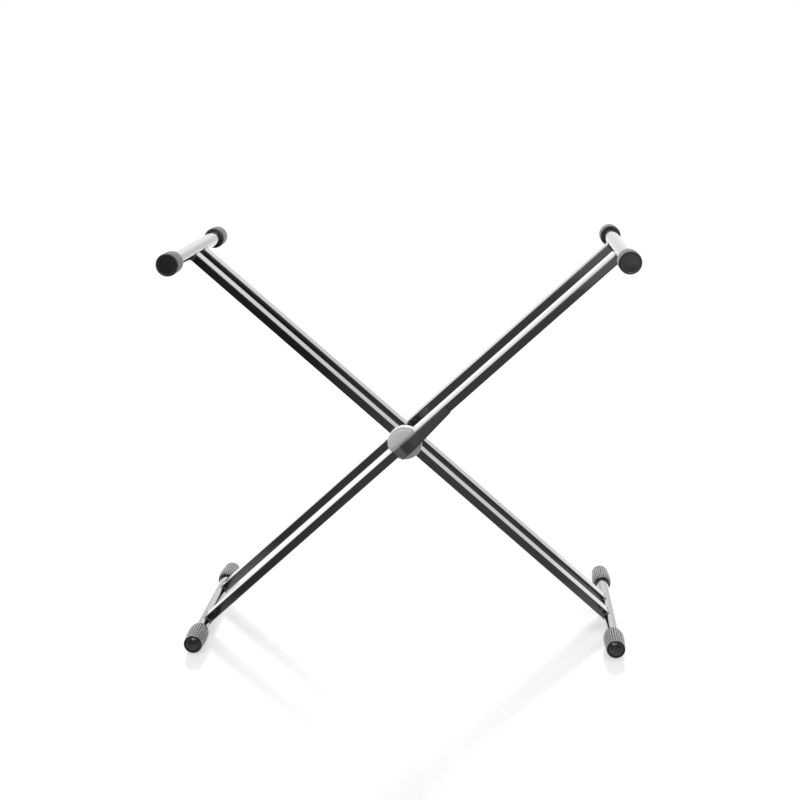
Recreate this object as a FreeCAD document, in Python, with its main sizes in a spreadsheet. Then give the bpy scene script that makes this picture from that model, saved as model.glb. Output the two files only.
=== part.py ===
# Folding keyboard stand with a double X frame: two welded frames of steel tube,
# one inside the other, that turn on a common axis and are held by a clamp with a cam lever.
#
# Frame of the model: +X to the player's right, +Y away from the player, +Z up.
# The origin lies on the floor, midway between the feet and midway between front and back.
import FreeCAD, Part
import Sketcher
import math
import os

Vector = FreeCAD.Vector
DEPTH_AXIS = Vector(0, 1, 0)
UP_AXIS = Vector(0, 0, 1)

doc = FreeCAD.newDocument("KeyboardStand")

# ---------------------------------------------------------------------------
# Driving dimensions, in millimetres and degrees
# ---------------------------------------------------------------------------
DRIVING_SIZES = [
    # the two frames
    ("arm_angle", 42, "every arm above the floor, degrees"),
    ("upper_reach", 496, "pivot axis to top tube axis, along an arm"),
    ("lower_reach", 485, "pivot axis to foot tube axis, along an arm"),
    ("arm_tube_depth", 30, "rectangular arm tube, front to back"),
    ("arm_tube_height", 15, "rectangular arm tube, across the arm"),
    ("arm_tube_wall", 1.5, "wall of the arm tube"),
    ("arm_tube_corner", 2, "outer corner radius of the arm tube"),
    ("inner_arm_offset", 37, "middle of the stand to the middle of an inner arm"),
    ("hub_gap", 14, "free space between an inner and an outer arm"),
    ("top_tube_diameter", 25.4, "round tube that carries the keyboard"),
    ("foot_tube_diameter", 22.2, "round tube that stands on the floor"),
    ("round_tube_wall", 1.5, "wall of both round tubes"),
    ("weld_gap", 0.05, "root gap between an arm's notch and its round tube"),
    # rubber caps
    ("top_half_width", 225, "middle of the stand to the outer face of a top cap"),
    ("foot_half_width", 196, "middle of the stand to the outer face of a foot cap"),
    ("cap_fit", 0.1, "gap between a cap's bore and its tube"),
    ("top_cap_diameter", 37.6, "top cap over its ribs"),
    ("top_cap_length", 44, "top cap, outer face to inner end"),
    ("top_cap_floor", 4, "closed end of a top cap"),
    ("cap_edge", 0.8, "bevel round a cap's outer face"),
    ("foot_cap_face_radius", 15.8, "foot cap at its outer face"),
    ("foot_cap_radius", 17.8, "foot cap at its fattest"),
    ("foot_cap_end_radius", 15, "foot cap at its inner end"),
    ("foot_cap_length", 66, "foot cap, outer face to inner end"),
    ("foot_cap_belly_start", 34, "outer face to where a foot cap is fattest"),
    ("foot_cap_belly_end", 52, "outer face to where its shoulder falls away"),
    ("foot_cap_floor", 5, "closed end of a foot cap"),
    ("foot_axis_height", 17, "foot tube axis above the floor"),
    ("top_rib_count", 31, "ribs round a top cap"),
    ("foot_rib_count", 25, "ribs round a foot cap"),
    ("top_groove_depth", 0.9, "groove between the ribs of a top cap"),
    ("top_groove_width", 1.8, "groove of a top cap at its surface"),
    ("foot_groove_depth", 0.3, "groove of a foot cap at its inner end"),
    ("foot_groove_width", 2, "groove of a foot cap where it is fattest"),
    ("groove_overrun", 1, "groove cutter beyond the surface it cuts"),
    ("foot_cap_rim", 3, "smooth rim from a foot cap's outer face to its ribs"),
    # clutch between the two front arms
    ("clutch_diameter", 60, "die-cast clutch plates"),
    ("clutch_boss_diameter", 45, "raised middle of a plate, against the tube"),
    ("clutch_step", 1.2, "raised middle above the outer ring"),
    ("clutch_edge", 1.6, "bevelled outer edge of a plate"),
    ("friction_disc_thickness", 1.2, "fibre disc between the plates"),
    ("friction_disc_diameter", 54, "outer diameter of the fibre disc"),
    ("friction_bore_diameter", 26, "inner diameter of the fibre disc"),
    ("clutch_gap", 0.1, "fibre disc to the rear plate when it is released"),
    # clamp: bolt, barrel pin, cam lever and thrust pad
    ("bolt_diameter", 8, "clamp bolt and rear pivot bolt"),
    ("bolt_play", 0.1, "radial play of a bolt in its holes"),
    ("head_across_flats", 13, "hexagon of bolt heads and nuts"),
    ("head_thickness", 5.3, "bolt head"),
    ("nut_thickness", 8, "lock nut with its nylon collar"),
    ("washer_diameter", 15, "steel washers"),
    ("washer_thickness", 1.6, "steel washers"),
    ("thread_gap", 0.03, "bolt thread drawn smooth in its nut"),
    ("thrust_pad_length", 26, "thrust pad, along the arm"),
    ("thrust_pad_thickness", 2.5, "thrust pad on the tube's front face"),
    ("barrel_diameter", 10, "cross pin that the lever turns on"),
    ("barrel_play", 0.05, "radial play of the barrel pin in the lever"),
    ("cam_radius", 14.5, "round end of the lever that presses on the pad"),
    ("cam_offset", 0.9, "cam centre from the barrel pin's axis"),
    ("cam_width", 16, "cam across the arm"),
    ("cam_clearance", 0.02, "cam to the thrust pad when it is closed"),
    ("bolt_slot_play", 0.25, "bolt in the slot of the cam, each side"),
    ("lever_reach", 102.5, "barrel pin axis to the lever's tip"),
    ("lever_stand_off", 35.5, "tube's front face to the lever's flat front"),
    ("lever_tip_stand_off", 4.5, "tube's front face to the front of the tip"),
    ("lever_tip_thickness", 3, "lever at its tip"),
    ("lever_flat_end", 22, "barrel pin axis to where the lever starts to slope"),
    ("lever_curve_start", 4, "barrel pin axis to where the lever's butt curves"),
    ("lever_curve_radius", 18, "curve of the lever's butt"),
    ("lever_curve_angle", 55, "sweep of the lever's butt, degrees"),
    ("lever_side_depth", 12, "side walls of the lever"),
    ("lever_skin", 2.6, "front wall of the lever"),
    ("lever_tip_width", 15.9, "lever at its tip"),
    ("lever_butt_width", 22.8, "lever at the end of its butt"),
    ("lever_edge", 1.8, "rounded front edges of the lever"),
    ("lever_wall", 2, "side walls at the lever's tip"),
    # rear pivot
    ("spacer_diameter", 14, "nylon spacer between the two rear arms"),
    ("side_play", 0.1, "each side of the nylon spacer and under the lock nut"),
]

sheet = doc.addObject("Spreadsheet::Sheet", "Sizes")
for row, (alias, value, meaning) in enumerate(DRIVING_SIZES, start=1):
    sheet.set(f"A{row}", alias)
    sheet.set(f"B{row}", str(value))
    sheet.set(f"C{row}", meaning)
    sheet.setAlias(f"B{row}", alias)
doc.recompute()


class Size:
    """A length or angle that carries its number and the sheet formula that gives it."""

    def __init__(self, number, formula):
        self.number = number
        self.formula = formula

    def __add__(self, other):
        other = as_size(other)
        return Size(self.number + other.number, f"({self.formula} + {other.formula})")

    def __sub__(self, other):
        other = as_size(other)
        return Size(self.number - other.number, f"({self.formula} - {other.formula})")

    def __mul__(self, other):
        other = as_size(other)
        return Size(self.number * other.number, f"({self.formula} * {other.formula})")

    def __truediv__(self, other):
        other = as_size(other)
        return Size(self.number / other.number, f"({self.formula} / {other.formula})")

    def __neg__(self):
        return Size(-self.number, f"(0 - {self.formula})")


def as_size(value):
    """Give a plain number as a Size, and a Size as it is."""
    if isinstance(value, Size):
        return value
    return Size(float(value), repr(float(value)))


def size(alias):
    """Read one driving dimension from the sheet."""
    return Size(float(sheet.get(alias)), f"Sizes.{alias}")


def sine(angle):
    """Sine of a Size in degrees."""
    return Size(math.sin(math.radians(angle.number)), f"sin({angle.formula})")


def cosine(angle):
    """Cosine of a Size in degrees."""
    return Size(math.cos(math.radians(angle.number)), f"cos({angle.formula})")


# ---------------------------------------------------------------------------
# Steps that every piece is made with
# ---------------------------------------------------------------------------
pieces = []


def new_body(label):
    """Start a piece as a body with its own label."""
    body = doc.addObject("PartDesign::Body", label)
    body.Label = label
    pieces.append(body)
    return body


def origin_plane(body, role):
    """Find one of a body's own origin planes."""
    return [plane for plane in body.Origin.OriginFeatures if plane.Role == role][0]


def sketch_on(body, role, name, lift=None):
    """Put an empty sketch on an origin plane, lifted along the plane's normal."""
    sketch = body.newObject("Sketcher::SketchObject", name)
    sketch.AttachmentSupport = [(origin_plane(body, role), "")]
    sketch.MapMode = "FlatFace"
    if lift is not None:
        sketch.AttachmentOffset = FreeCAD.Placement(Vector(0, 0, lift.number), FreeCAD.Rotation())
        sketch.setExpression("AttachmentOffset.Base.z", lift.formula)
    return sketch


def bind(sketch, value, kind, *where):
    """Add a dimension to a sketch and tie it to the sheet."""
    value = as_size(value)
    index = sketch.addConstraint(Sketcher.Constraint(kind, *where, value.number))
    sketch.setExpression(f"Constraints[{index}]", value.formula)


def draw_circle(sketch, radius, x=0, y=0):
    """Draw a circle and tie its radius and centre."""
    x, y, radius = as_size(x), as_size(y), as_size(radius)
    centre = Vector(x.number, y.number, 0)
    edge = sketch.addGeometry(Part.Circle(centre, UP_AXIS, radius.number), False)
    bind(sketch, radius, "Radius", edge)
    bind(sketch, x, "DistanceX", -1, 1, edge, 3)
    bind(sketch, y, "DistanceY", -1, 1, edge, 3)


def arc_between(start, end, radius):
    """Minor arc from start to end, anticlockwise for a positive radius."""
    chord = end - start
    half = chord.Length / 2
    rise = math.sqrt(radius * radius - half * half)
    left = Vector(-chord.y, chord.x, 0).normalize()
    centre = (start + end) * 0.5 + left * math.copysign(rise, radius)
    first, last = (start, end) if radius > 0 else (end, start)
    circle = Part.Circle(centre, UP_AXIS, abs(radius))
    first_angle = math.atan2(first.y - centre.y, first.x - centre.x)
    last_angle = math.atan2(last.y - centre.y, last.x - centre.x)
    return Part.ArcOfCircle(circle, first_angle, last_angle)


def draw_outline(sketch, corners):
    """Draw a closed outline through its corners.

    A corner is (x, y), reached by a straight line, or (x, y, radius), reached by an arc
    that turns anticlockwise for a positive radius and clockwise for a negative one.
    """
    points = [Vector(as_size(corner[0]).number, as_size(corner[1]).number, 0) for corner in corners]
    ends = []
    for index, corner in enumerate(corners):
        start, end = points[index - 1], points[index]
        if len(corner) == 3:
            radius = as_size(corner[2])
            edge = sketch.addGeometry(arc_between(start, end, radius.number), False)
            turns_left = radius.number > 0
            ends.append((edge, 1, 2) if turns_left else (edge, 2, 1))
            bind(sketch, radius if turns_left else -radius, "Radius", edge)
        else:
            edge = sketch.addGeometry(Part.LineSegment(start, end), False)
            ends.append((edge, 1, 2))
    for index, corner in enumerate(corners):
        edge, _, finish = ends[index]
        following, start, _ = ends[(index + 1) % len(corners)]
        sketch.addConstraint(Sketcher.Constraint("Coincident", edge, finish, following, start))
        bind(sketch, corner[0], "DistanceX", -1, 1, edge, finish)
        bind(sketch, corner[1], "DistanceY", -1, 1, edge, finish)


def draw_rectangle(sketch, low_x, low_y, high_x, high_y):
    """Draw an upright rectangle between two corners."""
    draw_outline(sketch, [(low_x, low_y), (high_x, low_y), (high_x, high_y), (low_x, high_y)])


def pad(body, sketch, length, side="One side"):
    """Add material from a sketch along its normal."""
    feature = body.newObject("PartDesign::Pad", "Pad")
    feature.Profile = sketch
    feature.SideType = side
    feature.Length = length.number
    feature.setExpression("Length", length.formula)
    return feature


def cut(body, sketch, length, side="One side"):
    """Take material away from a sketch, against its normal."""
    doc.recompute()
    before = body.Shape.Volume
    feature = body.newObject("PartDesign::Pocket", "Pocket")
    feature.Profile = sketch
    feature.SideType = side
    feature.Length = length.number
    feature.setExpression("Length", length.formula)
    doc.recompute()
    if not body.Shape.Volume < before:
        raise RuntimeError(f"{body.Label}: a cut takes nothing away")
    return feature


def pad_along_depth(body, name, low, high, draw):
    """Add a shape drawn as seen from the front, between two places along the depth."""
    low, high = as_size(low), as_size(high)
    sketch = sketch_on(body, "XZ_Plane", name, -high)
    draw(sketch)
    return pad(body, sketch, high - low)


def cut_along_depth(body, name, low, high, draw):
    """Cut a shape drawn as seen from the front, between two places along the depth."""
    low, high = as_size(low), as_size(high)
    sketch = sketch_on(body, "XZ_Plane", name, -low)
    draw(sketch)
    return cut(body, sketch, high - low)


def revolve(body, name, corners):
    """Turn a profile of (radius, depth) corners about the body's depth axis."""
    sketch = sketch_on(body, "XY_Plane", name)
    draw_outline(sketch, corners)
    feature = body.newObject("PartDesign::Revolution", "Revolution")
    feature.Profile = sketch
    feature.ReferenceAxis = (sketch, ["V_Axis"])
    feature.Angle = 360
    return feature


def draw_polygon(sketch, radius, count):
    """Draw a regular polygon about the sketch's origin, with a corner at its top."""
    turn = as_size(360) / count
    draw_outline(sketch, [
        (radius * sine(turn * corner), radius * cosine(turn * corner))
        for corner in range(int(count.number))
    ])


def loft_along_depth(body, name, rows, count):
    """Join many-sided rows, given as (depth, radius to a corner), by flat faces."""
    sketches = []
    for depth, radius in rows:
        sketch = sketch_on(body, "XZ_Plane", name, -as_size(depth))
        draw_polygon(sketch, radius, count)
        sketches.append(sketch)
    feature = body.newObject("PartDesign::AdditiveLoft", "Loft")
    feature.Profile = sketches[0]
    feature.Sections = sketches[1:]
    feature.Ruled = True
    return feature


def place(body, x=0, y=0, z=0, turn=None):
    """Set a piece at its place in the stand."""
    base = Vector(as_size(x).number, as_size(y).number, as_size(z).number)
    body.Placement = FreeCAD.Placement(base, turn or FreeCAD.Rotation())


# ---------------------------------------------------------------------------
# Places that several pieces share
# ---------------------------------------------------------------------------
arm_angle = size("arm_angle")
upper_reach = size("upper_reach")
lower_reach = size("lower_reach")
tube_depth = size("arm_tube_depth")
tube_height = size("arm_tube_height")
tube_wall = size("arm_tube_wall")
pivot_height = size("foot_axis_height") + lower_reach * sine(arm_angle)

inner_arm_middle = size("inner_arm_offset")
outer_arm_middle = inner_arm_middle + tube_depth + size("hub_gap")
outer_arm_face = outer_arm_middle + tube_depth / 2
outer_arm_back = outer_arm_middle - tube_depth / 2
inner_arm_face = inner_arm_middle + tube_depth / 2
inner_arm_back = inner_arm_middle - tube_depth / 2

bolt_radius = size("bolt_diameter") / 2
bolt_hole_radius = bolt_radius + size("bolt_play")

# An outer arm rises to the right as the player sees it, an inner arm to the left.
RISES_RIGHT = FreeCAD.Rotation(DEPTH_AXIS, -arm_angle.number)
RISES_LEFT = FreeCAD.Rotation(DEPTH_AXIS, arm_angle.number - 180)
HALF_TURN = FreeCAD.Rotation(UP_AXIS, 180)


# ---------------------------------------------------------------------------
# Frames: rectangular arms, notched at both ends to sit on the round tubes
# ---------------------------------------------------------------------------
def rounded_section(sketch, depth, height, corner):
    """Draw the rounded rectangle of an arm tube, centred on the sketch."""
    half_depth, half_height = depth / 2, height / 2
    draw_outline(sketch, [
        (half_depth - corner, -half_height),
        (half_depth, -half_height + corner, corner),
        (half_depth, half_height - corner),
        (half_depth - corner, half_height, corner),
        (-half_depth + corner, half_height),
        (-half_depth, half_height - corner, corner),
        (-half_depth, -half_height + corner),
        (-half_depth + corner, -half_height, corner),
    ])


def make_arm(label, middle, turn):
    """Make one arm: a drawn tube, fish-mouthed at both ends and drilled at the pivot."""
    body = new_body(label)
    corner = size("arm_tube_corner")
    section = sketch_on(body, "YZ_Plane", "TubeSection")
    rounded_section(section, tube_depth, tube_height, corner)
    half_bore_depth = tube_depth / 2 - tube_wall
    half_bore_height = tube_height / 2 - tube_wall
    draw_rectangle(section, -half_bore_depth, -half_bore_height, half_bore_depth, half_bore_height)
    tube = pad(body, section, upper_reach, "Two sides")
    tube.Length2 = lower_reach.number
    tube.setExpression("Length2", lower_reach.formula)

    notches = sketch_on(body, "XZ_Plane", "TubeNotches")
    gap = size("weld_gap")
    draw_circle(notches, size("top_tube_diameter") / 2 + gap, upper_reach)
    draw_circle(notches, size("foot_tube_diameter") / 2 + gap, -lower_reach)
    cut(body, notches, tube_depth * 2, "Symmetric")

    hole = sketch_on(body, "XZ_Plane", "PivotHole")
    draw_circle(hole, bolt_hole_radius)
    cut(body, hole, tube_depth * 2, "Symmetric")
    place(body, 0, middle, pivot_height, turn)


def make_round_tube(label, diameter, half_width, closed_end, reach, turn):
    """Make a cross tube that ends against the closed ends of its two caps."""
    body = new_body(label)
    half_length = half_width - closed_end

    def draw(sketch):
        draw_circle(sketch, diameter / 2)
        draw_circle(sketch, diameter / 2 - size("round_tube_wall"))

    pad_along_depth(body, "TubeRing", -half_length, half_length, draw)
    along_arm = turn.multVec(Vector(reach.number, 0, 0))
    place(body, along_arm.x, 0, pivot_height + along_arm.z)


def cut_grooves(body, bottom, surface, width, low, high, count):
    """Cut equal V grooves along a cap, which leave its ribs standing between them."""
    reach = surface + size("groove_overrun")
    half_width = width / 2 * (reach - bottom) / (surface - bottom)

    def draw(sketch):
        draw_outline(sketch, [(0, bottom), (half_width, reach), (-half_width, reach)])

    groove = cut_along_depth(body, "RibGroove", low, high, draw)
    pattern = body.newObject("PartDesign::PolarPattern", "Grooves")
    pattern.Originals = [groove]
    pattern.Axis = (groove.Profile[0], ["N_Axis"])
    pattern.Angle = 360
    pattern.Occurrences = int(count.number)
    pattern.setExpression("Occurrences", count.formula)
    body.Tip = pattern


def place_cap(body, x, z, half_width, faces_front):
    """Push a cap over the front or the rear end of its tube."""
    if faces_front:
        place(body, x, -half_width, z)
    else:
        place(body, x, half_width, z, HALF_TURN)


def make_top_cap(label, x, z, faces_front):
    """Make a ribbed rubber cap for an end of a top tube."""
    body = new_body(label)
    radius = size("top_cap_diameter") / 2
    bore = size("top_tube_diameter") / 2 + size("cap_fit")
    length = size("top_cap_length")
    floor = size("top_cap_floor")
    edge = size("cap_edge")
    loft_along_depth(body, "CapRow", [
        (0, radius - edge),
        (edge, radius),
        (length, radius),
    ], size("top_rib_count"))
    cut_along_depth(body, "CapBore", floor, length, lambda sketch: draw_circle(sketch, bore))
    cut_grooves(body, radius - size("top_groove_depth"), radius, size("top_groove_width"),
                -edge, length + edge, size("top_rib_count"))
    place_cap(body, x, z, size("top_half_width"), faces_front)


def make_foot_cap(label, x, z, faces_front):
    """Make a barrel-shaped ribbed rubber foot for an end of a foot tube."""
    body = new_body(label)
    face = size("foot_cap_face_radius")
    belly = size("foot_cap_radius")
    end_radius = size("foot_cap_end_radius")
    bore = size("foot_tube_diameter") / 2 + size("cap_fit")
    length = size("foot_cap_length")
    floor = size("foot_cap_floor")
    edge = size("cap_edge")
    loft_along_depth(body, "FootRow", [
        (0, face - edge),
        (edge, face),
        (size("foot_cap_belly_start"), belly),
        (size("foot_cap_belly_end"), belly),
        (length, end_radius),
    ], size("foot_rib_count"))
    cut_along_depth(body, "FootBore", floor, length, lambda sketch: draw_circle(sketch, bore))
    cut_grooves(body, end_radius - size("foot_groove_depth"), belly, size("foot_groove_width"),
                size("foot_cap_rim"), length + edge, size("foot_rib_count"))
    sole = sketch_on(body, "XZ_Plane", "Sole")
    ground = -size("foot_axis_height")
    draw_rectangle(sole, -belly, ground - belly, belly, ground)
    cut(body, sole, length * 3, "Symmetric")
    place_cap(body, x, z, size("foot_half_width"), faces_front)


for frame, middle, turn in (
    ("outer", outer_arm_middle, RISES_RIGHT),
    ("inner", inner_arm_middle, RISES_LEFT),
):
    make_arm(f"{frame}_front_arm", -middle, turn)
    make_arm(f"{frame}_rear_arm", middle, turn)
    top = turn.multVec(Vector(upper_reach.number, 0, 0))
    foot = turn.multVec(Vector(-lower_reach.number, 0, 0))
    top_z = pivot_height + top.z
    foot_z = pivot_height + foot.z
    make_round_tube(f"{frame}_top_tube", size("top_tube_diameter"), size("top_half_width"),
                    size("top_cap_floor"), upper_reach, turn)
    make_round_tube(f"{frame}_foot_tube", size("foot_tube_diameter"), size("foot_half_width"),
                    size("foot_cap_floor"), -lower_reach, turn)
    make_top_cap(f"{frame}_top_cap_front", top.x, top_z, True)
    make_top_cap(f"{frame}_top_cap_rear", top.x, top_z, False)
    make_foot_cap(f"{frame}_foot_cap_front", foot.x, foot_z, True)
    make_foot_cap(f"{frame}_foot_cap_rear", foot.x, foot_z, False)


# ---------------------------------------------------------------------------
# Clutch: two die-cast plates with a fibre disc between them
# ---------------------------------------------------------------------------
plate_thickness = (size("hub_gap") - size("friction_disc_thickness") - size("clutch_gap")) / 2


def make_clutch_plate(label, tube_face, turn=None):
    """Make a clutch plate: a stepped disc, welded by its raised middle to an arm."""
    body = new_body(label)
    radius = size("clutch_diameter") / 2
    boss = size("clutch_boss_diameter") / 2
    step = size("clutch_step")
    edge = size("clutch_edge")
    revolve(body, "PlateProfile", [
        (bolt_hole_radius, 0),
        (boss, 0),
        (boss, step),
        (radius - edge, step),
        (radius, step + edge),
        (radius, plate_thickness),
        (bolt_hole_radius, plate_thickness),
    ])
    place(body, 0, tube_face, pivot_height, turn)


make_clutch_plate("front_clutch_plate", -outer_arm_back)
make_clutch_plate("rear_clutch_plate", -inner_arm_face, HALF_TURN)

friction_disc = new_body("friction_disc")
friction_front = -outer_arm_back + plate_thickness


def draw_friction_ring(sketch):
    """Draw the fibre disc's two circles."""
    draw_circle(sketch, size("friction_disc_diameter") / 2)
    draw_circle(sketch, size("friction_bore_diameter") / 2)


pad_along_depth(friction_disc, "FibreRing", friction_front,
                friction_front + size("friction_disc_thickness"), draw_friction_ring)
place(friction_disc, 0, 0, pivot_height)


# ---------------------------------------------------------------------------
# Clamp: a bolt through both front arms, pulled by the cam of the lever
# ---------------------------------------------------------------------------
pad_thickness = size("thrust_pad_thickness")
cam_radius = size("cam_radius")
cam_shift = size("cam_offset") / math.sqrt(2)
barrel_axis = -outer_arm_face - pad_thickness - size("cam_clearance") - cam_radius - cam_shift
washer = size("washer_thickness")


def draw_hexagon(sketch, across_flats):
    """Draw a hexagon with two level flats, centred on the sketch."""
    corner = across_flats / math.sqrt(3)
    half = corner / 2
    flat = across_flats / 2
    draw_outline(sketch, [
        (corner, 0), (half, flat), (-half, flat),
        (-corner, 0), (-half, -flat), (half, -flat),
    ])


def make_bolt(label, shank_end, head_seat):
    """Make a hexagon bolt that lies along the depth, with its head at the back."""
    body = new_body(label)
    pad_along_depth(body, "Shank", shank_end, head_seat,
                    lambda sketch: draw_circle(sketch, bolt_radius))
    pad_along_depth(body, "Head", head_seat, head_seat + size("head_thickness"),
                    lambda sketch: draw_hexagon(sketch, size("head_across_flats")))
    place(body, 0, 0, pivot_height)


def make_ring(label, low, high, outer_diameter, hole_radius):
    """Make a washer or spacer on a bolt."""
    body = new_body(label)

    def draw(sketch):
        draw_circle(sketch, outer_diameter / 2)
        draw_circle(sketch, hole_radius)

    pad_along_depth(body, "Ring", low, high, draw)
    place(body, 0, 0, pivot_height)


thrust_pad = new_body("thrust_pad")
half_pad = size("thrust_pad_length") / 2
pad_along_depth(thrust_pad, "PadOutline", -outer_arm_face - pad_thickness, -outer_arm_face,
                lambda sketch: draw_rectangle(sketch, -half_pad, -tube_height / 2, half_pad, tube_height / 2))
cut_along_depth(thrust_pad, "PadHole", -outer_arm_face - pad_thickness * 2, -outer_arm_face + pad_thickness,
                lambda sketch: draw_circle(sketch, bolt_hole_radius))
place(thrust_pad, 0, 0, pivot_height, RISES_RIGHT)

clamp_seat = -inner_arm_back + washer
bolt_end = barrel_axis - bolt_radius * 0.6
make_bolt("clamp_bolt", bolt_end, clamp_seat)
make_ring("clamp_washer", -inner_arm_back, clamp_seat, size("washer_diameter"), bolt_hole_radius)

# The barrel pin lies across the arm, inside the cam, and is tapped for the bolt.
barrel_pin = new_body("barrel_pin")
barrel_section = sketch_on(barrel_pin, "XY_Plane", "BarrelSection")
draw_circle(barrel_section, size("barrel_diameter") / 2)
pad(barrel_pin, barrel_section, size("cam_width") - size("bolt_slot_play") * 2, "Symmetric")
cut_along_depth(barrel_pin, "BarrelThread", -size("barrel_diameter"), size("barrel_diameter"),
                lambda sketch: draw_circle(sketch, bolt_radius + size("thread_gap")))
place(barrel_pin, 0, barrel_axis, pivot_height, RISES_RIGHT)


# ---------------------------------------------------------------------------
# Cam lever: a hollow moulded handle whose butt is the eccentric cam.
# In its own frame X runs along the arm to the tip, Y away from the player
# and Z across the arm; the origin is on the barrel pin's axis.
# ---------------------------------------------------------------------------
def rounded_front_edges(body):
    """Find the long edges between the lever's front faces and its side walls."""
    shape = body.Shape
    names = []
    for index, edge in enumerate(shape.Edges, start=1):
        middle = edge.valueAt((edge.FirstParameter + edge.LastParameter) / 2)
        normals = []
        for face in shape.ancestorsOfType(edge, Part.Face):
            u, v = face.Surface.parameter(middle)
            normal = face.normalAt(u, v)
            normals.append(normal)
        if len(normals) != 2:
            continue
        faces_side = [abs(normal.z) > 0.9 for normal in normals]
        faces_player = [normal.y < -0.3 and abs(normal.z) < 0.1 for normal in normals]
        if any(faces_side) and any(faces_player):
            names.append(f"Edge{index}")
    return names


cam_lever = new_body("cam_lever")
front = -outer_arm_face - size("lever_stand_off") - barrel_axis
tip_front = -outer_arm_face - size("lever_tip_stand_off") - barrel_axis
reach = size("lever_reach")
flat_end = size("lever_flat_end")
curve_start = size("lever_curve_start")
curve_radius = size("lever_curve_radius")
curve_angle = size("lever_curve_angle")
butt_end = curve_start - curve_radius * sine(curve_angle)
butt_front = front + curve_radius - curve_radius * cosine(curve_angle)
side_bottom = front + size("lever_side_depth")

grip_side = sketch_on(cam_lever, "XY_Plane", "GripSide")
draw_outline(grip_side, [
    (reach, tip_front),
    (flat_end, front),
    (curve_start, front),
    (butt_end, butt_front, -curve_radius),
    (butt_end + 2, side_bottom),
    (flat_end + 4, side_bottom),
    (reach, tip_front + size("lever_tip_thickness")),
])
pad(cam_lever, grip_side, size("lever_butt_width"), "Symmetric")

half_tip = size("lever_tip_width") / 2
half_butt = size("lever_butt_width") / 2
for side, sign in (("Right", 1), ("Left", -1)):
    taper = sketch_on(cam_lever, "XZ_Plane", f"Taper{side}")
    draw_outline(taper, [
        (butt_end, half_butt * sign),
        (reach, half_tip * sign),
        (reach, (half_butt + 1) * sign),
        (butt_end, (half_butt + 1) * sign),
    ])
    cut(cam_lever, taper, reach * 2, "Symmetric")

tapered_grip = cam_lever.Tip
front_edges = rounded_front_edges(cam_lever)
rounding = cam_lever.newObject("PartDesign::Fillet", "FrontEdges")
rounding.Base = (tapered_grip, front_edges)
rounding.Radius = size("lever_edge").number
rounding.setExpression("Radius", size("lever_edge").formula)

cavity = sketch_on(cam_lever, "XY_Plane", "GripCavity")
skin = size("lever_skin")
cavity_start = cam_radius + skin
slope = (tip_front - front) / (reach - flat_end)
cavity_tip = reach - skin * 2
draw_outline(cavity, [
    (cavity_start, front + skin),
    (flat_end, front + skin),
    (cavity_tip, front + skin + slope * (cavity_tip - flat_end)),
    (cavity_tip, tip_front + size("lever_side_depth")),
    (cavity_start, tip_front + size("lever_side_depth")),
])
cut(cam_lever, cavity, size("lever_tip_width") - size("lever_wall") * 2, "Symmetric")

cam = sketch_on(cam_lever, "XY_Plane", "Cam")
draw_circle(cam, cam_radius, cam_shift, cam_shift)
pad(cam_lever, cam, size("cam_width"), "Symmetric")

barrel_bore = sketch_on(cam_lever, "XY_Plane", "BarrelBore")
draw_circle(barrel_bore, size("barrel_diameter") / 2 + size("barrel_play"))
cut(cam_lever, barrel_bore, size("cam_width") * 2, "Symmetric")

bolt_slot = sketch_on(cam_lever, "XY_Plane", "BoltSlot")
slot_half = bolt_radius + size("bolt_slot_play")
draw_rectangle(bolt_slot, -cam_radius * 2, -slot_half, slot_half, cam_radius * 2)
cut(cam_lever, bolt_slot, slot_half * 2, "Symmetric")
place(cam_lever, 0, barrel_axis, pivot_height, RISES_RIGHT)


# ---------------------------------------------------------------------------
# Rear pivot: a bolt, a nylon spacer between the arms, two washers and a lock nut
# ---------------------------------------------------------------------------
play = size("side_play")
rear_head_seat = outer_arm_face + washer
nut_washer_seat = inner_arm_back - play
nut_seat = nut_washer_seat - washer
nut_thickness = size("nut_thickness")
make_bolt("rear_pivot_bolt", nut_seat - nut_thickness, rear_head_seat)
make_ring("rear_head_washer", outer_arm_face, rear_head_seat, size("washer_diameter"), bolt_hole_radius)
make_ring("rear_spacer", inner_arm_face + play, outer_arm_back, size("spacer_diameter"), bolt_hole_radius)
make_ring("rear_nut_washer", nut_seat, nut_washer_seat, size("washer_diameter"), bolt_hole_radius)

rear_lock_nut = new_body("rear_lock_nut")
collar_radius = size("head_across_flats") / 2 - 0.5
thread_radius = bolt_radius + size("thread_gap")


def draw_nut(sketch):
    """Draw the nut's hexagon and its thread hole."""
    draw_hexagon(sketch, size("head_across_flats"))
    draw_circle(sketch, thread_radius)


def draw_collar(sketch):
    """Draw the round collar that holds the nylon ring."""
    draw_circle(sketch, collar_radius)
    draw_circle(sketch, thread_radius)


collar_seat = nut_seat - nut_thickness * 0.7
pad_along_depth(rear_lock_nut, "Hexagon", collar_seat, nut_seat, draw_nut)
pad_along_depth(rear_lock_nut, "Collar", nut_seat - nut_thickness, collar_seat, draw_collar)
place(rear_lock_nut, 0, 0, pivot_height)


# ---------------------------------------------------------------------------
# Check every object, then write one file for each piece
# ---------------------------------------------------------------------------
doc.recompute()
for item in doc.Objects:
    if "Invalid" in item.State or "Error" in item.State:
        raise RuntimeError(f"{item.Label} failed: {item.State}")
for body in pieces:
    if body.Shape.isNull() or not body.Shape.isValid() or not body.Shape.Solids:
        raise RuntimeError(f"{body.Label} has no valid solid")

os.makedirs("parts", exist_ok=True)
for body in pieces:
    body.Shape.exportStep(f"parts/{body.Label}.step")
    print(f"{body.Label}: {len(body.Shape.Solids)} solid, {body.Shape.Volume:.0f} mm3")
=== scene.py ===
import math

import bpy
from mathutils import Matrix, Vector


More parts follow.
